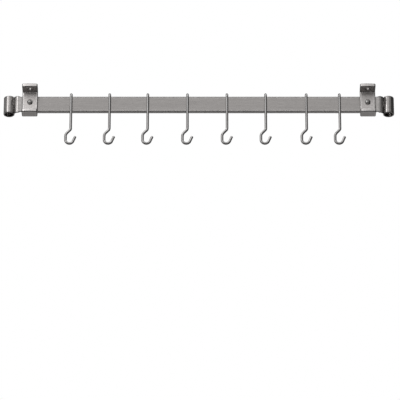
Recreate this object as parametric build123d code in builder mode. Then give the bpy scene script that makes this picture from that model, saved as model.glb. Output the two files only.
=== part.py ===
# Wall mounted pot rack: a flat bar with rolled ends, two C brackets, their wall screws
# and spacers, and eight wire hooks that slide along the bar. Lengths are in millimetres.
# The wall is the plane y = 0 and the room lies towards -Y. The bar runs along X, and z = 0
# is at half its height. The origin is on the wall, midway between the two wall screws.

import os
from math import asin, atan2, cos, degrees, hypot, radians, sin, sqrt

from build123d import *

os.makedirs("parts", exist_ok=True)

# Bar: one flat bar on edge, each end drawn thin behind and rolled into an upright eye
bar_height = 41.3
bar_thickness = 9.5
bar_edge_radius = 1.2
eye_spacing = 914.4
eye_outer_radius = 13.3
eye_height = 45.2
eye_wall = 3.2
eye_edge_radius = 1.2
eye_front_step = 1.0
eye_seam_gap = 1.5
eye_wall_clearance = 0.5
taper_length = 16.0
flare_length = 5.0

# Brackets: a strap bent to a C, its plate on the bar's face and its flanges forward
bracket_inset = 50.8
bracket_width = 37.2
bracket_thickness = 9.5
bracket_height = 77.5
bracket_drop = 0.45
bracket_bend_radius = 2.5
bracket_edge_radius = 2.6
flange_reach = 25.4
flange_bow = 1.6
flange_end_radius = 2.4
hanging_hole_diameter = 11.0

# Wall screws: a domed head with a cross recess, a plain shank as far as the wall, a thread and a point
screw_diameter = 6.35
screw_length = 69.85
screw_core_diameter = 4.9
screw_point_length = 7.0
head_diameter = 13.5
head_rim_height = 1.4
head_height = 4.8
recess_span = 7.0
recess_slot = 1.6
recess_depth = 2.6
screw_clearance = 0.4

# Spacers: plain sleeves on the screws, between the bar and the wall
spacer_diameter = 19.0
spacer_chamfer = 0.8

# Hooks: round wire, looped over the bar and bent to a J at its foot
wire_diameter = 6.35
wire_end_radius = 1.2
hook_clearance = 0.3
loop_play = 0.35
rear_leg_length = 28.0
front_leg_length = 87.5
offset_distance = 12.0
offset_angle = 43.0
upper_offset_radius = 8.0
lower_offset_radius = 14.0
throat_length = 10.3
j_radius = 9.4
j_arm_lean = 22.0
j_arm_length = 14.0

# Places of the hooks along the bar, from its middle, as shares of the way to a wall screw
hook_shares = [-0.7566, -0.5285, -0.3024, -0.0672, 0.1668, 0.3959, 0.6371, 0.8337]

# Depths of the layers, from the wall towards the room
eye_y = -(eye_wall_clearance + eye_outer_radius)
bar_face_y = eye_y - eye_outer_radius + eye_front_step
bar_middle_y = bar_face_y + bar_thickness / 2
bar_back_y = bar_face_y + bar_thickness
plate_face_y = bar_face_y - bracket_thickness
flange_front_y = plate_face_y - flange_reach

screw_hole_radius = screw_diameter / 2 + screw_clearance
screw_x = eye_spacing / 2 - bracket_inset
side_places = {"left": -screw_x, "right": screw_x}
loop_inner_radius = bar_thickness / 2 + loop_play


def save(piece, name):
    piece.label = name
    export_step(piece, f"parts/{name}.step")


def arc_through(centre, radius, *angles):
    # Points of a circle in a plane, at angles in degrees from its first axis
    return [(centre[0] + radius * cos(radians(a)), centre[1] + radius * sin(radians(a))) for a in angles]


def make_bar():
    # The thin end's middle line seen from above: the eye, then the bend that leads to the flat
    eye_x = eye_spacing / 2
    strip_y = bar_face_y + eye_wall / 2
    line_radius = eye_outer_radius - eye_wall / 2
    bend_radius = eye_y - strip_y
    bend_face_radius = bend_radius + eye_wall / 2
    centres = line_radius + bend_radius
    bend_x = eye_x - centres
    flare_x = bend_x - flare_length
    taper_x = bend_x - taper_length
    tip_reach = centres**2 + eye_outer_radius**2 - (bend_face_radius + eye_seam_gap) ** 2
    tip_angle = -90 - degrees(asin(tip_reach / (2 * centres * eye_outer_radius)))
    eye = arc_through((eye_x, eye_y), line_radius, tip_angle, (tip_angle + 180) / 2, 180)
    bend = arc_through((bend_x, eye_y), bend_radius, 0, -45, -90)

    with BuildPart() as bar:
        with BuildSketch(Plane.YZ):
            with Locations((bar_middle_y, 0)):
                RectangleRounded(bar_thickness, bar_height, bar_edge_radius)
        extrude(amount=taper_x)
        # The back slopes in to the thin end, which spreads to the eye's height, and the face stays flat
        with BuildSketch(Plane.YZ.offset(taper_x)):
            with Locations((bar_middle_y, 0)):
                RectangleRounded(bar_thickness, bar_height, bar_edge_radius)
        with BuildSketch(Plane.YZ.offset(flare_x)):
            with Locations((strip_y, 0)):
                RectangleRounded(eye_wall, bar_height, eye_edge_radius)
        with BuildSketch(Plane.YZ.offset(bend_x)):
            with Locations((strip_y, 0)):
                RectangleRounded(eye_wall, eye_height, eye_edge_radius)
        loft(ruled=True)
        with BuildLine() as strip:
            ThreePointArc(*eye)
            ThreePointArc(*bend)
        path = strip.wire()
        with BuildSketch(Plane(origin=path @ 0, x_dir=(0, 0, 1), z_dir=path % 0)):
            RectangleRounded(eye_height, eye_wall, eye_edge_radius)
        sweep(path=path)
        mirror(about=Plane.YZ)
        for x in side_places.values():
            with Locations(Plane(origin=(x, bar_face_y, 0), z_dir=(0, -1, 0))):
                Hole(screw_hole_radius, depth=bar_thickness)
    return bar.part


def make_bracket(x):
    # The strap's middle line in the plane across the bar, from one flange's edge to the other's
    top_z = (bracket_height - bracket_thickness) / 2 - bracket_drop
    bottom_z = top_z - bracket_height + bracket_thickness
    plate_y = plate_face_y + bracket_thickness / 2
    line_radius = bracket_bend_radius + bracket_thickness / 2
    bow_radius = (bracket_width**2 / 4 + flange_bow**2) / (2 * flange_bow)
    # The strap runs on past the front by the bow, and the bow's arc cuts it off
    cut_y = flange_front_y - flange_bow
    corners = [(cut_y, top_z), (plate_y, top_z), (plate_y, bottom_z), (cut_y, bottom_z)]

    with BuildPart() as bracket:
        with BuildLine(Plane(origin=(x, 0, 0), x_dir=(0, 1, 0), z_dir=(1, 0, 0))) as strap:
            FilletPolyline(*corners, radius=line_radius)
        path = strap.wire()
        with BuildSketch(Plane(origin=path @ 0, x_dir=(1, 0, 0), z_dir=path % 0)):
            RectangleRounded(bracket_width, bracket_thickness, bracket_edge_radius)
        sweep(path=path)
        # Both flanges end on one wide arc
        with BuildSketch(Plane(origin=(x, flange_front_y + bow_radius, 0))):
            Circle(bow_radius)
        extrude(amount=bracket_height, both=True, mode=Mode.INTERSECT)
        ends = bracket.faces().sort_by(Axis.Y)[:2]
        fillet(ends.edges(), flange_end_radius)
        with Locations(Plane(origin=(x, plate_face_y, 0), z_dir=(0, -1, 0))):
            Hole(screw_hole_radius, depth=bracket_thickness)
        with Locations((x, plate_face_y - flange_reach / 2, top_z + bracket_thickness / 2)):
            Hole(hanging_hole_diameter / 2, depth=bracket_thickness)
    return bracket.part


def make_wall_screw(x):
    # Half outline from the dome's top to the point, turned about the screw's own axis
    head_radius = head_diameter / 2
    shank_radius = screw_diameter / 2
    core_radius = screw_core_diameter / 2
    dome_rise = head_height - head_rim_height
    dome_radius = (head_radius**2 + dome_rise**2) / (2 * dome_rise)
    dome_span = degrees(asin(head_radius / dome_radius))
    dome = arc_through((0, dome_radius - head_height), dome_radius, -90, dome_span / 2 - 90, dome_span - 90)
    core_start = -plate_face_y
    shank_end = core_start - shank_radius + core_radius
    point_start = screw_length - screw_point_length

    with BuildPart() as screw:
        with BuildSketch(Plane(origin=(x, plate_face_y, 0))):
            with BuildLine():
                ThreePointArc(*dome)
                Polyline(
                    dome[2],
                    (head_radius, 0),
                    (shank_radius, 0),
                    (shank_radius, shank_end),
                    (core_radius, core_start),
                    (core_radius, point_start),
                    (0, screw_length),
                    dome[0],
                )
            make_face()
        revolve(axis=Axis((x, plate_face_y, 0), (0, 1, 0)))
        with BuildSketch(Plane(origin=(x, plate_face_y - head_height, 0), z_dir=(0, -1, 0))):
            Rectangle(recess_span, recess_slot)
            Rectangle(recess_slot, recess_span)
        extrude(amount=-recess_depth, mode=Mode.SUBTRACT)
    return screw.part


def make_spacer(x):
    with BuildPart() as spacer:
        with BuildSketch(Plane(origin=(x, 0, 0), z_dir=(0, -1, 0))):
            Circle(spacer_diameter / 2)
            Circle(screw_hole_radius, mode=Mode.SUBTRACT)
        extrude(amount=-bar_back_y)
        rims = spacer.edges().filter_by(GeomType.CIRCLE).sort_by(SortBy.RADIUS)[-2:]
        chamfer(rims, spacer_chamfer)
    return spacer.part


def make_hook(x):
    # The loop sits on the bar's two top edges, and the front leg leans on its lower front edge
    wire_radius = wire_diameter / 2
    edge_across = bar_thickness / 2 - bar_edge_radius
    edge_height = bar_height / 2 - bar_edge_radius
    seat = loop_inner_radius - bar_edge_radius - hook_clearance
    loop_z = edge_height - sqrt(seat**2 - edge_across**2)
    edge_drop = edge_height + loop_z
    lean = asin(seat / hypot(edge_across, edge_drop)) - atan2(edge_across, edge_drop)
    frame = Plane(origin=(x, bar_middle_y, loop_z), x_dir=(1, 0, 0), z_dir=(0, -sin(lean), cos(lean)))

    # The wire's middle line in the hook's own frame, whose origin is the loop's centre
    loop_radius = loop_inner_radius + wire_radius
    turn = radians(offset_angle)
    bends = upper_offset_radius + lower_offset_radius
    slant_length = (offset_distance - bends * (1 - cos(turn))) / sin(turn)
    leg_end = -front_leg_length
    slant_top = (
        upper_offset_radius * (cos(turn) - 1),
        leg_end - upper_offset_radius * sin(turn),
    )
    slant_foot = (slant_top[0] - slant_length * sin(turn), slant_top[1] - slant_length * cos(turn))
    throat_top = slant_foot[1] - lower_offset_radius * sin(turn)
    j_centre = (j_radius - offset_distance, throat_top - throat_length)
    upper_bend = arc_through(
        (-upper_offset_radius, leg_end), upper_offset_radius, 0, -offset_angle / 2, -offset_angle
    )
    lower_bend = arc_through(
        (lower_offset_radius - offset_distance, throat_top),
        lower_offset_radius,
        180 - offset_angle,
        180 - offset_angle / 2,
        180,
    )
    j_end = 360 - j_arm_lean
    j_bend = arc_through(j_centre, j_radius, 180, (180 + j_end) / 2, j_end)
    arm_tip = (
        j_bend[2][0] + j_arm_length * sin(radians(j_arm_lean)),
        j_bend[2][1] + j_arm_length * cos(radians(j_arm_lean)),
    )

    def on_leg(points):
        return [(px, -loop_radius, pz) for px, pz in points]

    with BuildPart() as hook:
        with BuildLine(frame) as wire:
            Line((0, loop_radius, -rear_leg_length), (0, loop_radius, 0))
            ThreePointArc((0, loop_radius, 0), (0, 0, loop_radius), (0, -loop_radius, 0))
            Line(*on_leg([(0, 0), (0, leg_end)]))
            ThreePointArc(*on_leg(upper_bend))
            Line(*on_leg([slant_top, slant_foot]))
            ThreePointArc(*on_leg(lower_bend))
            Line(*on_leg([lower_bend[2], j_bend[0]]))
            ThreePointArc(*on_leg(j_bend))
            Line(*on_leg([j_bend[2], arm_tip]))
        path = wire.wire()
        with BuildSketch(Plane(origin=path @ 0, z_dir=path % 0)):
            Circle(wire_radius)
        sweep(path=path)
        cut_ends = hook.faces().filter_by(GeomType.PLANE)
        fillet(cut_ends.edges(), wire_end_radius)
    return hook.part


save(make_bar(), "bar")
for side, place in side_places.items():
    save(make_bracket(place), f"{side}_bracket")
    save(make_wall_screw(place), f"{side}_wall_screw")
    save(make_spacer(place), f"{side}_spacer")
for number, share in enumerate(hook_shares, start=1):
    save(make_hook(share * screw_x), f"hook_{number}")
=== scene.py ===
import bpy
from math import asin, atan2, cos, degrees, hypot, pi, radians, sin, sqrt
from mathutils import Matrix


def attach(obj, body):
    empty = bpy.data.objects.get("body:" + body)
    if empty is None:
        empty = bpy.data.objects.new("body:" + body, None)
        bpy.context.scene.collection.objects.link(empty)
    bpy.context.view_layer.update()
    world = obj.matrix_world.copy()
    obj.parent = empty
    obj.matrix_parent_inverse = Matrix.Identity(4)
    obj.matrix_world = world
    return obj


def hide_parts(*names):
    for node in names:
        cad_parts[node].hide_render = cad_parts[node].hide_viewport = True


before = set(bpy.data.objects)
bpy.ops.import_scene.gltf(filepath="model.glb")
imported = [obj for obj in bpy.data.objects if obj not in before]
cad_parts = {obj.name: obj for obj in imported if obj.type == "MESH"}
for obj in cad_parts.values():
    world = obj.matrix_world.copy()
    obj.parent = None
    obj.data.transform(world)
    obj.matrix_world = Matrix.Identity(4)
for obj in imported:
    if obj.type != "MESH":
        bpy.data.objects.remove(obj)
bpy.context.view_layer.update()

# Wall mounted pot rack. Metres, +Z up, the wall is the plane y = 0 and the room lies towards -Y


# Small tools for working by hand

touch = 0.00001  # two places this near are one
near = 0.0001  # what is this near a plane or a radius lies on it


def clearSelection():
    if bpy.context.object and bpy.context.object.mode != "OBJECT":
        bpy.ops.object.mode_set(mode="OBJECT")
    bpy.ops.object.select_all(action="DESELECT")


def selectOnly(piece):
    clearSelection()
    piece.select_set(True)
    bpy.context.view_layer.objects.active = piece


def nameNew(name):
    piece = bpy.context.object
    piece.name = name
    piece.data.name = name
    return piece


def applyPlace(piece):
    selectOnly(piece)
    bpy.ops.object.transform_apply(location=True, rotation=True, scale=True)


def openMesh(piece, kind="FACE"):
    selectOnly(piece)
    bpy.ops.object.mode_set(mode="EDIT")
    bpy.ops.mesh.select_mode(type=kind)
    bpy.ops.mesh.select_all(action="SELECT")


def pick(piece, kind, test):
    # Picks the vertices, edges or faces whose middle passes the test, and stays in edit mode
    openMesh(piece, kind)
    bpy.ops.mesh.select_all(action="DESELECT")
    bpy.ops.object.mode_set(mode="OBJECT")
    mesh = piece.data
    if kind == "FACE":
        for face in mesh.polygons:
            face.select = bool(test(face.center, face.normal))
    elif kind == "EDGE":
        for edge in mesh.edges:
            a, b = (mesh.vertices[i].co for i in edge.vertices)
            edge.select = bool(test((a + b) / 2, (b - a).normalized()))
    else:
        for vertex in mesh.vertices:
            vertex.select = bool(test(vertex.co, vertex.normal))
    bpy.ops.object.mode_set(mode="EDIT")


def extrudeBy(x, y, z):
    bpy.ops.mesh.extrude_region_move(TRANSFORM_OT_translate={"value": (x, y, z)})


def spinBy(angle, centre, axis, steps):
    # With no window a spin goes the other way round, so the angle changes its sign
    bpy.ops.mesh.spin(steps=steps, angle=-radians(angle), center=centre, axis=axis)


def roundedPlate(name, width, height, radius, place, turn, corners, columns=1):
    # A grid one row deep, its corners rounded, which the extrusions start from
    clearSelection()
    bpy.ops.mesh.primitive_grid_add(
        x_subdivisions=columns, y_subdivisions=1, size=1, location=place, rotation=turn
    )
    piece = nameNew(name)
    piece.scale = (width, height, 1)
    middle = piece.location.copy()
    applyPlace(piece)
    reach = hypot(width, height) / 2
    pick(piece, "VERT", lambda c, n: (c - middle).length > reach - touch)
    bpy.ops.mesh.bevel(offset=radius, segments=corners, affect="VERTICES", clamp_overlap=False)
    bpy.ops.mesh.select_mode(type="FACE")
    bpy.ops.mesh.select_all(action="SELECT")
    return piece


def outwards(piece):
    openMesh(piece)
    bpy.ops.mesh.remove_doubles(threshold=touch)
    bpy.ops.mesh.normals_make_consistent(inside=False)
    clearSelection()


def addModifier(piece, kind, **values):
    selectOnly(piece)
    modifier = piece.modifiers.new(kind.title(), kind)
    for name, value in values.items():
        setattr(modifier, name, value)
    bpy.ops.object.modifier_apply(modifier=modifier.name)


def cutWith(piece, cutter):
    outwards(cutter)
    addModifier(piece, "BOOLEAN", object=cutter, operation="DIFFERENCE", solver="EXACT")
    bpy.data.objects.remove(cutter)


def roundCutter(radius, depth, place, turn, vertices):
    clearSelection()
    bpy.ops.mesh.primitive_cylinder_add(
        vertices=vertices, radius=radius, depth=depth, location=place, rotation=turn
    )
    cutter = nameNew("cutter")
    applyPlace(cutter)
    return cutter


def joinPieces(name, *pieces):
    clearSelection()
    for piece in pieces:
        piece.select_set(True)
    bpy.context.view_layer.objects.active = pieces[0]
    bpy.ops.object.join()
    return nameNew(name)


def copyPiece(piece, name, x):
    # Each copy has its own mesh, with its place in the mesh
    selectOnly(piece)
    bpy.ops.object.duplicate(linked=False)
    twin = nameNew(name)
    twin.location.x += x
    applyPlace(twin)
    return twin


def smoothPiece(piece, angle=35):
    selectOnly(piece)
    bpy.ops.object.shade_smooth_by_angle(angle=radians(angle))
    addModifier(piece, "WEIGHTED_NORMAL", keep_sharp=True, weight=60)


def dress(piece, node, body, material):
    piece.data.materials.clear()
    piece.data.materials.append(material)
    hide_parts(node)
    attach(piece, body)


# Node trees

def addNode(tree, kind, **inputs):
    node = tree.nodes.new(kind)
    for name, value in inputs.items():
        node.inputs[name.replace("_", " ")].default_value = value
    return node


def mathNode(tree, operation, first, second):
    node = tree.nodes.new("ShaderNodeMath")
    node.operation = operation
    for place, value in enumerate((first, second)):
        if isinstance(value, (int, float)):
            node.inputs[place].default_value = value
        else:
            tree.links.new(value, node.inputs[place])
    return node.outputs[0]


def rangeNode(tree, value, fromMin, fromMax, toMin, toMax):
    node = tree.nodes.new("ShaderNodeMapRange")
    tree.links.new(value, node.inputs["Value"])
    limits = {"From Min": fromMin, "From Max": fromMax, "To Min": toMin, "To Max": toMax}
    for name, number in limits.items():
        node.inputs[name].default_value = number
    return node.outputs["Result"]


def mixColours(tree, factor, first, second):
    node = tree.nodes.new("ShaderNodeMix")
    node.data_type = "RGBA"
    tree.links.new(factor, node.inputs["Factor"])
    for place, value in ((6, first), (7, second)):
        if isinstance(value, tuple):
            node.inputs[place].default_value = (*value, 1)
        else:
            tree.links.new(value, node.inputs[place])
    return node.outputs[2]


def newGroup(name, inputs, outputs):
    group = bpy.data.node_groups.new(name, "ShaderNodeTree")
    for label, kind, value in inputs:
        socket = group.interface.new_socket(label, in_out="INPUT", socket_type=kind)
        if value is not None:
            socket.default_value = value
    for label, kind in outputs:
        group.interface.new_socket(label, in_out="OUTPUT", socket_type=kind)
    return group, group.nodes.new("NodeGroupInput").outputs, group.nodes.new("NodeGroupOutput").inputs


# Where each effect starts and where it is whole, in the noise or in the turn of the normal
effectRanges = {
    "lines": (0.3, 0.7), "bands": (0.35, 0.65), "bandScale": 0.17,  # a band is about six lines wide
    "strip": (0.9998, 0.988), "stripPatches": (0.35, 0.6), "stripLeast": 0.35,
    "roundness": (0.03, 0.2), "border": (0.965, 0.935),
    "patches": (0.35, 0.65), "specks": (0.62, 0.75),
}


def makeBrushLines():
    # Fine lines left by an abrasive belt. The vector comes in already stretched along the lines
    group, given, result = newGroup(
        "brushLines",
        [("Vector", "NodeSocketVector", None), ("Scale", "NodeSocketFloat", 1.0)],
        [("Lines", "NodeSocketFloat"), ("Bands", "NodeSocketFloat")],
    )
    fine = addNode(group, "ShaderNodeTexNoise", Detail=4.0, Roughness=0.65)
    bands = addNode(group, "ShaderNodeTexNoise", Detail=2.0, Roughness=0.5)
    group.links.new(given["Vector"], fine.inputs["Vector"])
    group.links.new(given["Vector"], bands.inputs["Vector"])
    group.links.new(given["Scale"], fine.inputs["Scale"])
    bandScale = mathNode(group, "MULTIPLY", given["Scale"], effectRanges["bandScale"])
    group.links.new(bandScale, bands.inputs["Scale"])
    lines = rangeNode(group, fine.outputs["Fac"], *effectRanges["lines"], 0, 1)
    group.links.new(lines, result["Lines"])
    broad = rangeNode(group, bands.outputs["Fac"], *effectRanges["bands"], 0, 1)
    group.links.new(broad, result["Bands"])
    return group


def makePaintedEdgeLight():
    # The first output is a painted highlight on the strip beside an edge, in patches. The second is
    # painted shade on the round of the edge itself and on bends. Sides is 0 on a piece whose upright
    # faces are curved
    group, given, result = newGroup(
        "paintedEdgeLight",
        [
            ("Vector", "NodeSocketVector", None),
            ("Width", "NodeSocketFloat", 0.001),
            ("Sides", "NodeSocketFloat", 0.0),
        ],
        [("Mask", "NodeSocketFloat"), ("Skin", "NodeSocketFloat")],
    )
    bevel = group.nodes.new("ShaderNodeBevel")
    bevel.samples = 6
    group.links.new(given["Width"], bevel.inputs["Radius"])
    face = group.nodes.new("ShaderNodeNewGeometry")
    turn = group.nodes.new("ShaderNodeVectorMath")
    turn.operation = "DOT_PRODUCT"
    group.links.new(bevel.outputs["Normal"], turn.inputs[0])
    group.links.new(face.outputs["Normal"], turn.inputs[1])
    patches = addNode(group, "ShaderNodeTexNoise", Scale=160.0, Detail=3.0)
    group.links.new(given["Vector"], patches.inputs["Vector"])
    strip = rangeNode(group, turn.outputs["Value"], *effectRanges["strip"], 0, 1)
    least = effectRanges["stripLeast"]
    highlightShare = rangeNode(group, patches.outputs["Fac"], *effectRanges["stripPatches"], least, 1)
    group.links.new(mathNode(group, "MULTIPLY", strip, highlightShare), result["Mask"])

    # The products of the normal's squares are 0 on a flat face and grow on its rounded edges and
    # bends, the painted shade
    parts = group.nodes.new("ShaderNodeSeparateXYZ")
    group.links.new(face.outputs["Normal"], parts.inputs[0])
    x, y, z = (mathNode(group, "MULTIPLY", part, part) for part in parts.outputs)
    level = mathNode(group, "MULTIPLY", z, mathNode(group, "ADD", x, y))
    upright = mathNode(group, "MULTIPLY", mathNode(group, "MULTIPLY", x, y), given["Sides"])
    products = mathNode(group, "ADD", level, upright)
    roundness = rangeNode(group, products, *effectRanges["roundness"], 0, 1)
    border = rangeNode(group, turn.outputs["Value"], *effectRanges["border"], 0, 1)
    group.links.new(mathNode(group, "MAXIMUM", roundness, border), result["Skin"])
    return group


def makeHandling():
    # Broad soft patches rubbed smooth by use, and small specks between them
    group, given, result = newGroup(
        "handling",
        [("Vector", "NodeSocketVector", None), ("Patches", "NodeSocketFloat", 14.0)],
        [("Patches", "NodeSocketFloat"), ("Specks", "NodeSocketFloat")],
    )
    patches = addNode(group, "ShaderNodeTexNoise", Detail=2.0, Distortion=0.4)
    group.links.new(given["Vector"], patches.inputs["Vector"])
    group.links.new(given["Patches"], patches.inputs["Scale"])
    specks = addNode(group, "ShaderNodeTexNoise", Scale=900.0, Detail=1.0)
    group.links.new(given["Vector"], specks.inputs["Vector"])
    broad = rangeNode(group, patches.outputs["Fac"], *effectRanges["patches"], 0, 1)
    group.links.new(broad, result["Patches"])
    small = rangeNode(group, specks.outputs["Fac"], *effectRanges["specks"], 0, 1)
    group.links.new(small, result["Specks"])
    return group


effects = {"brush": makeBrushLines(), "edge": makePaintedEdgeLight(), "handling": makeHandling()}


def placeEffect(tree, name, vector, **inputs):
    node = tree.nodes.new("ShaderNodeGroup")
    node.node_tree = effects[name]
    tree.links.new(vector, node.inputs["Vector"])
    for label, value in inputs.items():
        node.inputs[label].default_value = value
    return node


# How dark bands, specks and painted edge shade are beside the metal's colour, and how its roughness
# may fall
shades = {"bands": 0.72, "specks": 0.45, "edgeShade": 0.2}
polish = {"highlightShare": 0.3, "least": 0.05}


def makeMetal(name, look):
    # One metal, from its plain colour, its painted edge highlight colour, its brush direction and its
    # roughness
    material = bpy.data.materials.new(name)
    material.use_nodes = True
    tree = material.node_tree
    shader = tree.nodes["Principled BSDF"]
    shader.inputs["Metallic"].default_value = 1.0
    place = tree.nodes.new("ShaderNodeTexCoord").outputs["Object"]
    stretch = tree.nodes.new("ShaderNodeMapping")
    stretch.inputs["Scale"].default_value = look["stretch"]
    tree.links.new(place, stretch.inputs["Vector"])

    brush = placeEffect(tree, "brush", stretch.outputs["Vector"], Scale=look["lineScale"])
    edge = placeEffect(tree, "edge", place, Width=look["edgeWidth"], Sides=look["sides"])
    handling = placeEffect(tree, "handling", place, Patches=look["patchScale"])

    plain = look["colour"]
    darker = {effect: tuple(c * shade for c in plain) for effect, shade in shades.items()}
    dark = tuple(c * (1 - look["contrast"]) for c in plain)
    light = tuple(c * (1 + look["contrast"]) for c in plain)
    colour = mixColours(tree, brush.outputs["Lines"], dark, light)
    bandShade = mathNode(tree, "MULTIPLY", brush.outputs["Bands"], look["bands"])
    colour = mixColours(tree, bandShade, colour, darker["bands"])
    speckShade = mathNode(tree, "MULTIPLY", handling.outputs["Specks"], look["specks"])
    colour = mixColours(tree, speckShade, colour, darker["specks"])
    # Painted highlight: a bright strip beside the edges, in patches
    edgeHighlight = mathNode(tree, "MULTIPLY", edge.outputs["Mask"], look["edgeHighlight"])
    colour = mixColours(tree, edgeHighlight, colour, look["highlightColour"])
    # Painted shade: the rounds of the edges and the bends made darker
    edgeShade = mathNode(tree, "MULTIPLY", edge.outputs["Skin"], look["edgeShade"])
    colour = mixColours(tree, edgeShade, colour, darker["edgeShade"])
    tree.links.new(colour, shader.inputs["Base Color"])

    rough = rangeNode(tree, brush.outputs["Lines"], 0, 1, *look["rough"])
    rub = mathNode(tree, "MULTIPLY", handling.outputs["Patches"], look["rub"])
    rough = mathNode(tree, "SUBTRACT", rough, rub)
    # Roughness also falls where the edge highlight is painted
    highlightShare = mathNode(tree, "MULTIPLY", edgeHighlight, look["rough"][0] * polish["highlightShare"])
    rough = mathNode(tree, "SUBTRACT", rough, highlightShare)
    tree.links.new(mathNode(tree, "MAXIMUM", rough, polish["least"]), shader.inputs["Roughness"])

    bump = tree.nodes.new("ShaderNodeBump")
    bump.inputs["Strength"].default_value = look["bump"]
    bump.inputs["Distance"].default_value = look["depth"]
    tree.links.new(brush.outputs["Lines"], bump.inputs["Height"])
    tree.links.new(bump.outputs["Normal"], shader.inputs["Normal"])
    return material


# Contrast, bands, specks, painted edge highlight, painted edge shade, rub and bump say how strongly
# each effect shows. The lines run along the axis that is stretched least, and rough goes from between
# the lines to the lines
looks = {
    "brushedBar": {
        "colour": (0.325, 0.31, 0.302), "highlightColour": (0.62, 0.6, 0.59),
        "stretch": (0.035, 1.0, 1.0), "lineScale": 1500.0, "contrast": 0.16, "bands": 0.25,
        "patchScale": 11.0, "specks": 0.5, "edgeWidth": 0.008, "edgeHighlight": 0.9, "sides": 0.0,
        "edgeShade": 0.8, "rough": (0.17, 0.27), "rub": 0.04, "bump": 0.25, "depth": 0.0001,
    },
    "brushedBracket": {
        "colour": (0.5, 0.478, 0.468), "highlightColour": (0.85, 0.83, 0.82),
        "stretch": (1.0, 0.05, 0.05), "lineScale": 1300.0, "contrast": 0.12, "bands": 0.2,
        "patchScale": 30.0, "specks": 0.4, "edgeWidth": 0.0045, "edgeHighlight": 0.8, "sides": 1.0,
        "edgeShade": 0.85, "rough": (0.42, 0.54), "rub": 0.05, "bump": 0.2, "depth": 0.0001,
    },
    "screwSteel": {
        "colour": (0.45, 0.44, 0.43), "highlightColour": (0.66, 0.65, 0.64),
        "stretch": (1.0, 1.0, 1.0), "lineScale": 700.0, "contrast": 0.1, "bands": 0.3,
        "patchScale": 60.0, "specks": 0.5, "edgeWidth": 0.0003, "edgeHighlight": 0.3, "sides": 1.0,
        "edgeShade": 0.55, "rough": (0.14, 0.22), "rub": 0.04, "bump": 0.1, "depth": 0.00005,
    },
    "spacerSteel": {
        "colour": (0.4, 0.39, 0.385), "highlightColour": (0.6, 0.59, 0.58),
        "stretch": (0.05, 1.0, 0.05), "lineScale": 1800.0, "contrast": 0.16, "bands": 0.4,
        "patchScale": 50.0, "specks": 0.4, "edgeWidth": 0.0008, "edgeHighlight": 0.5, "sides": 0.0,
        "edgeShade": 0.0, "rough": (0.25, 0.38), "rub": 0.04, "bump": 0.3, "depth": 0.0001,
    },
    "hookWire": {
        "colour": (0.33, 0.323, 0.32), "highlightColour": (0.45, 0.44, 0.435),
        "stretch": (1.0, 1.0, 0.08), "lineScale": 900.0, "contrast": 0.08, "bands": 0.2,
        "patchScale": 35.0, "specks": 0.4, "edgeWidth": 0.0006, "edgeHighlight": 0.4, "sides": 0.0,
        "edgeShade": 0.0, "rough": (0.1, 0.17), "rub": 0.03, "bump": 0.08, "depth": 0.00005,
    },
}
metals = {name: makeMetal(name, look) for name, look in looks.items()}
print("materials:", len(metals), "metals from", len(effects), "shared effects")


# Bar: a flat bar on edge, each end drawn thin behind and rolled round into an upright eye

bar = {
    "height": 0.0413, "thickness": 0.0095, "edge": 0.0012, "faceY": -0.0261,
    "eyeX": 0.4572, "eyeY": -0.0138, "eyeRadius": 0.0133, "eyeHeight": 0.0452, "wall": 0.0032,
    "wallEdge": 0.0012, "seam": 0.0015, "taper": 0.016, "flare": 0.005, "corners": 5,
    "bendSteps": 14, "rollSteps": 56, "screwX": 0.4064, "holeRadius": 0.003575, "holeSides": 40,
    "cutDepth": 0.03,
}


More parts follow.
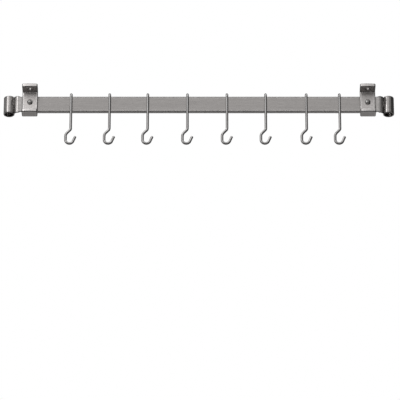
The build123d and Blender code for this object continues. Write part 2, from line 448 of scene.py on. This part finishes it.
def makeBar():
    half = bar["wall"] / 2
    stripY = bar["faceY"] + half
    middleY = bar["faceY"] + bar["thickness"] / 2
    lineRadius = bar["eyeRadius"] - half
    bendRadius = bar["eyeY"] - stripY
    centres = lineRadius + bendRadius
    bendX = bar["eyeX"] - centres
    taperX = bendX - bar["taper"]
    flareX = bendX - bar["flare"]
    towardsZ, upright, alongY = (0, 0, 1), (0, radians(90), 0), (radians(90), 0, 0)

    # The roll stops where the seam is left between the strip's end and its own back
    reach = centres**2 + bar["eyeRadius"] ** 2 - (bendRadius + half + bar["seam"]) ** 2
    roll = 270 + degrees(asin(reach / (2 * centres * bar["eyeRadius"])))

    flat = roundedPlate(
        "flat", bar["height"], bar["thickness"], bar["edge"],
        (0, middleY, 0), upright, bar["corners"],
    )
    extrudeBy(taperX, 0, 0)
    pick(flat, "FACE", lambda c, n: abs(n.x) > 0.9)
    bpy.ops.mesh.delete(type="FACE")

    eye = roundedPlate(
        "eye", bar["eyeHeight"], bar["wall"], bar["wallEdge"],
        (bendX, stripY, 0), upright, bar["corners"],
    )
    spinBy(90, (bendX, bar["eyeY"], 0), towardsZ, bar["bendSteps"])
    spinBy(-roll, (bar["eyeX"], bar["eyeY"], 0), towardsZ, bar["rollSteps"])
    pick(eye, "FACE", lambda c, n: abs(n.x) > 0.95 and abs(c.x - bendX) < near and c.y < bar["eyeY"])
    bpy.ops.mesh.delete(type="FACE")

    neck = roundedPlate(
        "neck", bar["height"], bar["wall"], bar["wallEdge"],
        (flareX, stripY, 0), upright, bar["corners"],
    )
    bpy.ops.mesh.delete(type="ONLY_FACE")

    # The back slopes in to the thin neck, which spreads to the height of the eye
    piece = joinPieces("rolledBar", flat, neck, eye)
    for ends in ((taperX, flareX), (flareX, bendX)):
        pick(piece, "EDGE", lambda c, d: min(abs(c.x - x) for x in ends) < touch
             and abs(d.x) < 0.1 and c.y < bar["eyeY"])
        bpy.ops.mesh.bridge_edge_loops()
        clearSelection()
    addModifier(
        piece, "MIRROR", use_axis=(True, False, False), use_mirror_merge=True, merge_threshold=touch
    )
    outwards(piece)
    for x in (-bar["screwX"], bar["screwX"]):
        cutWith(piece, roundCutter(
            bar["holeRadius"], bar["cutDepth"], (x, middleY, 0), alongY, bar["holeSides"]
        ))
    smoothPiece(piece)
    return piece


rolledBar = makeBar()
dress(rolledBar, "bar", "rack", metals["brushedBar"])
print("bar:", len(rolledBar.data.polygons), "faces")


def dressPair(piece, name, node, material):
    # One copy at each wall screw, and the piece that they are copied from goes
    for side, x in (("left", -bar["screwX"]), ("right", bar["screwX"])):
        twin = copyPiece(piece, side + name, x)
        dress(twin, side + "_" + node, "rack", material)
    bpy.data.objects.remove(piece)
    return len(twin.data.polygons)


# Brackets: a thick strap bent to a C, the ends of its flanges bowed and their edges rounded

bracket = {
    "width": 0.0372, "thickness": 0.0095, "edge": 0.0026, "faceY": -0.0356, "frontY": -0.0610,
    "bow": 0.0016, "topZ": 0.03355, "bottomZ": -0.03445, "innerBend": 0.0025, "endEdge": 0.0024,
    "corners": 5, "columns": 16, "bendSteps": 12, "endSteps": 4,
    "holeRadius": 0.003575, "holeSides": 48, "hangRadius": 0.0055, "hangSides": 64,
    "cutDepth": 0.03, "hangDepth": 0.02, "endReach": 0.0012,
}


def roundEnd(depth, up):
    # A few short rings draw the strap's end in to a round edge
    radius = bracket["endEdge"]
    wide, thick = bracket["width"], bracket["thickness"]
    inset = rise = 0.0
    for step in range(1, bracket["endSteps"] + 1):
        angle = radians(90) * step / bracket["endSteps"]
        nextInset, nextRise = radius * (1 - cos(angle)), radius * sin(angle)
        extrudeBy(0, rise - nextRise, 0)
        across = (wide - 2 * nextInset) / (wide - 2 * inset)
        shrink = (thick - 2 * nextInset) / (thick - 2 * inset)
        bpy.ops.transform.resize(value=(across, 1, shrink), center_override=(0, depth, up))
        inset, rise = nextInset, nextRise


def makeBracket():
    plateY = bracket["faceY"] + bracket["thickness"] / 2
    bend = bracket["innerBend"] + bracket["thickness"] / 2
    roundY = bracket["frontY"] + bracket["endEdge"]
    legEnd = bracket["bottomZ"] + bend
    flangeLength = plateY - bend - roundY
    acrossX, alongY, alongZ = (1, 0, 0), (radians(90), 0, 0), (0, 0, 0)

    piece = roundedPlate(
        "bracketStrap", bracket["width"], bracket["thickness"], bracket["edge"],
        (0, roundY, bracket["topZ"]), alongY, bracket["corners"], bracket["columns"],
    )
    extrudeBy(0, flangeLength, 0)
    spinBy(-90, (0, plateY - bend, bracket["topZ"] - bend), acrossX, bracket["bendSteps"])
    extrudeBy(0, 0, legEnd - bracket["topZ"] + bend)
    spinBy(-90, (0, plateY - bend, legEnd), acrossX, bracket["bendSteps"])
    extrudeBy(0, -flangeLength, 0)
    roundEnd(roundY, bracket["bottomZ"])
    pick(piece, "FACE", lambda c, n: abs(c.y - roundY) < touch and c.z > 0)
    roundEnd(roundY, bracket["topZ"])
    outwards(piece)

    # Both ends bow out at their middle, and the flat end faces are cut up to follow
    bowRadius = (bracket["width"] ** 2 / 4 + bracket["bow"] ** 2) / (2 * bracket["bow"])
    for vertex in piece.data.vertices:
        if vertex.co.y < roundY + near:
            vertex.co.y += bowRadius - sqrt(bowRadius**2 - vertex.co.x**2)
    endY = bracket["frontY"] + bracket["endReach"]
    pick(piece, "FACE", lambda c, n: n.y < -0.9 and c.y < endY)
    bpy.ops.mesh.quads_convert_to_tris(quad_method="BEAUTY", ngon_method="BEAUTY")
    clearSelection()

    cutWith(piece, roundCutter(
        bracket["holeRadius"], bracket["cutDepth"], (0, plateY, 0), alongY, bracket["holeSides"]
    ))
    hangY = (bracket["faceY"] + bracket["frontY"]) / 2
    cutWith(piece, roundCutter(
        bracket["hangRadius"], bracket["hangDepth"], (0, hangY, bracket["topZ"]),
        alongZ, bracket["hangSides"],
    ))
    smoothPiece(piece)
    return piece


strap = makeBracket()
faces = dressPair(strap, "WallBracket", "bracket", metals["brushedBracket"])
print("brackets: 2, each", faces, "faces")


# Wall screws: a domed head with a cross recess, a plain shank, a rolled thread and a point

screw = {
    "headRadius": 0.00675, "rim": 0.0014, "headHeight": 0.0048, "shankRadius": 0.003175,
    "coreRadius": 0.00245, "seatY": -0.0356, "length": 0.06985, "shankLength": 0.034875,
    "pointLength": 0.007, "pointShare": 0.06, "sides": 48, "domeSteps": 9, "crownShare": 0.3,
    "recessSpan": 0.007, "recessSlot": 0.0016, "recessDepth": 0.0026, "recessAbove": 0.001,
    "recessFoot": (0.45, 1, 0.7), "recessTurns": (12, 102),
    "pitch": 0.00254, "tooth": 0.0011, "toothShape": (0.85, 0.72, 1), "toothSteps": 28,
    "threadStart": 0.0004, "threadShort": 0.0016, "fadeIn": 0.0012, "fadeLeast": 0.72,
    "pointLeast": 0.1,
}


def narrowBy(share):
    bpy.ops.transform.resize(value=(share, 1, share))


def makeScrewBody():
    # The head grows from one disc towards the room, ring by ring, and the shank from its back
    clearSelection()
    bpy.ops.mesh.primitive_circle_add(
        vertices=screw["sides"], radius=screw["headRadius"], fill_type="NGON",
        location=(0, screw["seatY"], 0), rotation=(radians(90), 0, 0),
    )
    piece = nameNew("screwBody")
    applyPlace(piece)
    openMesh(piece)
    extrudeBy(0, -screw["rim"], 0)
    rise = screw["headHeight"] - screw["rim"]
    domeRadius = (screw["headRadius"] ** 2 + rise**2) / (2 * rise)
    span = asin(screw["headRadius"] / domeRadius)
    radius, height = screw["headRadius"], 0.0
    for step in range(1, screw["domeSteps"]):
        angle = span * (1 - step / screw["domeSteps"])
        nextRadius = domeRadius * sin(angle)
        nextHeight = domeRadius * cos(angle) - (domeRadius - rise)
        extrudeBy(0, height - nextHeight, 0)
        narrowBy(nextRadius / radius)
        radius, height = nextRadius, nextHeight
    extrudeBy(0, height - rise, 0)
    narrowBy(screw["crownShare"])

    pick(piece, "FACE", lambda c, n: abs(c.y - screw["seatY"]) < touch and abs(n.y) > 0.9)
    bpy.ops.mesh.inset(thickness=screw["headRadius"] - screw["shankRadius"], depth=0)
    extrudeBy(0, screw["shankLength"], 0)
    neck = screw["shankRadius"] - screw["coreRadius"]
    extrudeBy(0, neck, 0)
    narrowBy(screw["coreRadius"] / screw["shankRadius"])
    extrudeBy(0, screw["length"] - screw["shankLength"] - neck - screw["pointLength"], 0)
    extrudeBy(0, screw["pointLength"], 0)
    narrowBy(screw["pointShare"])
    outwards(piece)
    return piece


def makeRecessCutter(turn):
    # One bar of the cross, narrower at its foot
    clearSelection()
    crownY = screw["seatY"] - screw["headHeight"]
    topY, footY = crownY - screw["recessAbove"], crownY + screw["recessDepth"]
    bpy.ops.mesh.primitive_cube_add(size=1, location=(0, (topY + footY) / 2, 0))
    cutter = nameNew("recessCutter")
    cutter.scale = (screw["recessSpan"], footY - topY, screw["recessSlot"])
    applyPlace(cutter)
    pick(cutter, "FACE", lambda c, n: n.y > 0.9)
    bpy.ops.transform.resize(value=screw["recessFoot"])
    clearSelection()
    cutter.rotation_euler = (0, radians(turn), 0)
    applyPlace(cutter)
    return cutter


def makeThread():
    # One tooth turned round the core by a Screw modifier, then drawn in towards the point
    clearSelection()
    bpy.ops.mesh.primitive_circle_add(vertices=3, radius=screw["tooth"], fill_type="NOTHING")
    tooth = nameNew("screwThread")
    openMesh(tooth, "VERT")
    bpy.ops.transform.resize(value=screw["toothShape"])
    bpy.ops.transform.rotate(
        value=radians(90), orient_axis="Z", orient_type="GLOBAL", center_override=(0, 0, 0)
    )
    clearSelection()
    highest = max(v.co.x for v in tooth.data.vertices)
    start = screw["seatY"] + screw["shankLength"] + screw["threadStart"]
    openMesh(tooth, "VERT")
    bpy.ops.transform.translate(value=(screw["shankRadius"] - highest, start, 0))
    clearSelection()
    threadLength = screw["length"] - screw["shankLength"] - screw["threadShort"]
    addModifier(
        tooth, "SCREW", axis="Y", screw_offset=screw["pitch"], angle=2 * pi,
        steps=screw["toothSteps"], render_steps=screw["toothSteps"],
        iterations=int(threadLength / screw["pitch"]), use_merge_vertices=True,
    )
    tip = screw["seatY"] + screw["length"]
    for vertex in tooth.data.vertices:
        ahead = (tip - vertex.co.y) / screw["pointLength"]
        behind = (vertex.co.y - start + screw["fadeIn"]) / screw["pitch"]
        draw = min(1, max(screw["pointLeast"], ahead), max(screw["fadeLeast"], behind))
        vertex.co.x *= draw
        vertex.co.z *= draw
    openMesh(tooth)
    bpy.ops.mesh.fill_holes(sides=3)
    outwards(tooth)
    return tooth


screwBody = makeScrewBody()
for turn in screw["recessTurns"]:
    cutWith(screwBody, makeRecessCutter(turn))
wholeScrew = joinPieces("wholeScrew", screwBody, makeThread())
smoothPiece(wholeScrew, 32)
faces = dressPair(wholeScrew, "WallScrew", "wall_screw", metals["screwSteel"])
print("wall screws: 2, each", faces, "faces")


# Spacers: turned sleeves between the bar and the wall

spacer = {
    "radius": 0.0095, "bore": 0.003575, "length": 0.0166, "chamfer": 0.0008, "boreEdge": 0.0003,
    "sides": 72,
}


def makeSpacer():
    clearSelection()
    bpy.ops.mesh.primitive_cylinder_add(
        vertices=spacer["sides"], radius=spacer["radius"], depth=spacer["length"],
        location=(0, -spacer["length"] / 2, 0), rotation=(radians(90), 0, 0),
    )
    piece = nameNew("sleeve")
    applyPlace(piece)
    pick(piece, "FACE", lambda c, n: abs(n.y) > 0.9)
    bpy.ops.mesh.inset(thickness=spacer["radius"] - spacer["bore"], depth=0, use_individual=True)
    bpy.ops.mesh.delete(type="FACE")
    pick(piece, "EDGE", lambda c, d: hypot(c.x, c.z) < spacer["bore"] + near)
    bpy.ops.mesh.bridge_edge_loops()
    pick(piece, "EDGE", lambda c, d: hypot(c.x, c.z) > spacer["radius"] - near and abs(d.y) < 0.1)
    bpy.ops.mesh.bevel(offset=spacer["chamfer"], segments=1)
    pick(piece, "EDGE", lambda c, d: hypot(c.x, c.z) < spacer["bore"] + near and abs(d.y) < 0.1)
    bpy.ops.mesh.bevel(offset=spacer["boreEdge"], segments=2)
    outwards(piece)
    smoothPiece(piece, 30)
    return piece


sleeve = makeSpacer()
faces = dressPair(sleeve, "Spacer", "spacer", metals["spacerSteel"])
print("spacers: 2, each", faces, "faces")


# Hooks: one round wire bent over the bar and round to a J, copied to each place along the bar

hook = {
    "wire": 0.003175, "sides": 28, "endEdge": 0.0012, "loopInner": 0.0051, "clearance": 0.0003,
    "rearLeg": 0.028, "frontLeg": 0.0875, "offset": 0.012, "offsetAngle": 43.0, "upperBend": 0.008,
    "lowerBend": 0.014, "throat": 0.0103, "jRadius": 0.0094, "jLean": 22.0, "jArm": 0.0140,
    "loopSteps": 26, "upperSteps": 9, "lowerSteps": 12, "jSteps": 26, "endSteps": 5,
    # Places along the bar, as shares of the way from its middle to a wall screw
    "shares": [-0.7566, -0.5285, -0.3024, -0.0672, 0.1668, 0.3959, 0.6371, 0.8337],
}


def makeHook():
    # Bent in its own frame, whose origin is the middle of the loop, and then leaned on the bar
    loop = hook["loopInner"] + hook["wire"]
    turn = radians(hook["offsetAngle"])
    bends = hook["upperBend"] + hook["lowerBend"]
    slant = (hook["offset"] - bends * (1 - cos(turn))) / sin(turn)
    legEnd = -hook["frontLeg"]
    throatTop = legEnd - bends * sin(turn) - slant * cos(turn)
    jCentre = (hook["jRadius"] - hook["offset"], -loop, throatTop - hook["throat"])
    lean = radians(hook["jLean"])
    upperCentre = (-hook["upperBend"], -loop, legEnd)
    lowerCentre = (hook["lowerBend"] - hook["offset"], -loop, throatTop)
    acrossX, towardsY = (1, 0, 0), (0, 1, 0)

    clearSelection()
    bpy.ops.mesh.primitive_circle_add(
        vertices=hook["sides"], radius=hook["wire"], fill_type="NGON",
        location=(0, loop, -hook["rearLeg"]),
    )
    piece = nameNew("bentWire")
    applyPlace(piece)
    openMesh(piece)
    extrudeBy(0, 0, hook["rearLeg"])
    spinBy(180, (0, 0, 0), acrossX, hook["loopSteps"])
    extrudeBy(0, 0, legEnd)
    spinBy(hook["offsetAngle"], upperCentre, towardsY, hook["upperSteps"])
    extrudeBy(-slant * sin(turn), 0, -slant * cos(turn))
    spinBy(-hook["offsetAngle"], lowerCentre, towardsY, hook["lowerSteps"])
    extrudeBy(0, 0, -hook["throat"])
    spinBy(hook["jLean"] - 180, jCentre, towardsY, hook["jSteps"])
    extrudeBy(hook["jArm"] * sin(lean), 0, hook["jArm"] * cos(lean))

    # Both cut ends have a round rim
    tip = (jCentre[0] + hook["jRadius"] * cos(lean) + hook["jArm"] * sin(lean),
           jCentre[2] - hook["jRadius"] * sin(lean) + hook["jArm"] * cos(lean))
    pick(piece, "FACE", lambda c, n: abs(c.z + hook["rearLeg"]) < touch and abs(n.z) > 0.9
         or hypot(c.x - tip[0], c.z - tip[1]) < touch)
    bpy.ops.mesh.region_to_loop()
    bpy.ops.mesh.bevel(offset=hook["endEdge"], segments=hook["endSteps"], clamp_overlap=False)
    outwards(piece)

    # The loop rests on the two top edges of the bar and the leg on its lower front edge
    edgeAcross = bar["thickness"] / 2 - bar["edge"]
    edgeHeight = bar["height"] / 2 - bar["edge"]
    seat = hook["loopInner"] - bar["edge"] - hook["clearance"]
    loopZ = edgeHeight - sqrt(seat**2 - edgeAcross**2)
    edgeDrop = edgeHeight + loopZ
    hookLean = asin(seat / hypot(edgeAcross, edgeDrop)) - atan2(edgeAcross, edgeDrop)
    piece.rotation_euler = (hookLean, 0, 0)
    piece.location = (0, bar["faceY"] + bar["thickness"] / 2, loopZ)
    applyPlace(piece)
    smoothPiece(piece, 50)
    return piece


bentWire = makeHook()
for number, share in enumerate(hook["shares"], start=1):
    twin = copyPiece(bentWire, "wireHook" + str(number), share * bar["screwX"])
    node = "hook_" + str(number)
    dress(twin, node, node, metals["hookWire"])
bpy.data.objects.remove(bentWire)
print("hooks:", len(hook["shares"]), "each", len(twin.data.polygons), "faces")


# Studio: a pale floor far below, a white surround, and cards that only reflections see

studio = {
    "floorPlace": (0.0, -1.0, -5.2), "floorSize": 26.0, "floorColour": (0.8, 0.8, 0.8),
    "floorRoughness": 0.6, "floorGrain": 0.98, "floorLift": 0.46, "ambient": 0.55,
    "cards": {  # how strongly each glows, its size, its place and its turn in degrees
        "backHighCard": (0.10, (8.0, 3.4), (0.0, 1.9, 1.7), (90, 0, 0)),
        "backLowCard": (0.40, (8.0, 2.6), (0.0, 1.9, -1.3), (90, 0, 0)),
        "topBackCard": (0.15, (8.0, 2.3), (0.0, 0.9, 2.8), (0, 0, 0)),
        "rightCard": (0.08, (4.6, 5.6), (2.6, -0.2, 0.0), (90, 0, 90)),
        "leftCard": (0.40, (3.4, 5.6), (-2.6, 0.3, 0.0), (90, 0, 90)),
        "underCard": (0.2, (8.0, 4.6), (0.0, -0.3, -2.7), (0, 0, 0)),
        "frontLowCard": (0.14, (6.0, 2.3), (0.0, -2.6, -1.55), (90, 0, 0)),
        "topFrontCard": (1.7, (4.0, 1.9), (0.0, -1.2, 2.3), (0, 0, 0)),
        "stripCard": (3.2, (0.75, 2.4), (-1.6, -2.1, 1.3), (90, 0, -37)),
        "frontRightCard": (0.42, (1.9, 3.0), (1.55, -2.2, 1.1), (90, 0, 40)),
    },
    "lamps": {
        "keyLamp": {"place": (-1.1, -1.3, 2.1), "size": 1.2, "power": 9.0},
        "fillLamp": {"place": (1.2, -2.8, -0.6), "size": 1.6, "power": 3.0},
    },
}


def seenRays(tree):
    # 1 for what the camera sees, straight or by reflection, and 0 for what only lights the object
    path = tree.nodes.new("ShaderNodeLightPath")
    seen = mathNode(tree, "ADD", path.outputs["Is Camera Ray"], path.outputs["Is Glossy Ray"])
    seen = mathNode(tree, "ADD", seen, path.outputs["Is Transmission Ray"])
    return mathNode(tree, "MINIMUM", seen, 1.0)


def floorMaterial(name):
    # The lift brings the floor up to the white of the surround where it is seen
    material = bpy.data.materials.new(name)
    material.use_nodes = True
    tree = material.node_tree
    shader = tree.nodes["Principled BSDF"]
    shader.inputs["Roughness"].default_value = studio["floorRoughness"]
    shader.inputs["Emission Color"].default_value = (1, 1, 1, 1)
    grain = addNode(tree, "ShaderNodeTexNoise", Scale=3.0, Detail=4.0)
    place = tree.nodes.new("ShaderNodeTexCoord").outputs["Object"]
    tree.links.new(place, grain.inputs["Vector"])
    colour = studio["floorColour"]
    darker = tuple(c * studio["floorGrain"] for c in colour)
    grained = mixColours(tree, grain.outputs["Fac"], darker, colour)
    tree.links.new(grained, shader.inputs["Base Color"])
    lift = mathNode(tree, "MULTIPLY", seenRays(tree), studio["floorLift"])
    tree.links.new(lift, shader.inputs["Emission Strength"])
    return material


def cardMaterial(name, glow):
    material = bpy.data.materials.new(name)
    material.use_nodes = True
    tree = material.node_tree
    shine = addNode(tree, "ShaderNodeEmission", Color=(1, 1, 1, 1), Strength=glow)
    tree.links.new(shine.outputs[0], tree.nodes["Material Output"].inputs["Surface"])
    return material


def makeStudio():
    clearSelection()
    bpy.ops.mesh.primitive_plane_add(size=studio["floorSize"], location=studio["floorPlace"])
    floor = nameNew("studioFloor")
    applyPlace(floor)
    floor.data.materials.append(floorMaterial("studioFloor"))

    for name, (glow, size, place, turn) in studio["cards"].items():
        clearSelection()
        turned = tuple(radians(angle) for angle in turn)
        bpy.ops.mesh.primitive_plane_add(size=1, location=place, rotation=turned)
        plane = nameNew(name)
        plane.scale = (*size, 1)
        applyPlace(plane)
        plane.data.materials.append(cardMaterial(name, glow))
        plane.visible_camera = False
        plane.visible_diffuse = False
        plane.visible_transmission = False
        plane.visible_shadow = False

    world = bpy.data.worlds.new("studioWorld")
    bpy.context.scene.world = world
    world.use_nodes = True
    tree = world.node_tree
    tree.nodes.clear()
    strength = rangeNode(tree, seenRays(tree), 0, 1, studio["ambient"], 1)
    surround = addNode(tree, "ShaderNodeBackground", Color=(1, 1, 1, 1))
    tree.links.new(strength, surround.inputs["Strength"])
    out = tree.nodes.new("ShaderNodeOutputWorld")
    tree.links.new(surround.outputs[0], out.inputs["Surface"])

    # Both lamps look at the middle of the bar
    for name, lamp in studio["lamps"].items():
        clearSelection()
        bpy.ops.object.light_add(type="AREA", location=lamp["place"])
        light = bpy.context.object
        light.name = name
        light.data.size = lamp["size"]
        light.data.energy = lamp["power"]
        light.rotation_euler = light.location.to_track_quat("Z", "Y").to_euler()


makeStudio()
print("studio: floor,", len(studio["cards"]), "cards and", len(studio["lamps"]), "lamps")


# Camera: far back and well below the bar, looking up

camera = {
    "distance": 9.0, "rise": 29.0, "tilt": 27.528, "x": 0.0028, "lens": 336.2,
    "sensor": 36.0, "farthest": 60.0,
}
bpy.ops.object.camera_add(
    location=(
        camera["x"],
        bar["faceY"] - camera["distance"] * cos(radians(camera["rise"])),
        -camera["distance"] * sin(radians(camera["rise"])),
    ),
    rotation=(radians(90 + camera["tilt"]), 0, 0),
)
eyeCamera = bpy.context.object
eyeCamera.name = "eyeCamera"
eyeCamera.data.lens = camera["lens"]
eyeCamera.data.sensor_width = camera["sensor"]
eyeCamera.data.sensor_fit = "HORIZONTAL"
eyeCamera.data.clip_end = camera["farthest"]
bpy.context.scene.camera = eyeCamera
bpy.context.scene.view_settings.view_transform = "Standard"
print("camera: lens", camera["lens"], "mm, looking up", camera["tilt"], "degrees")
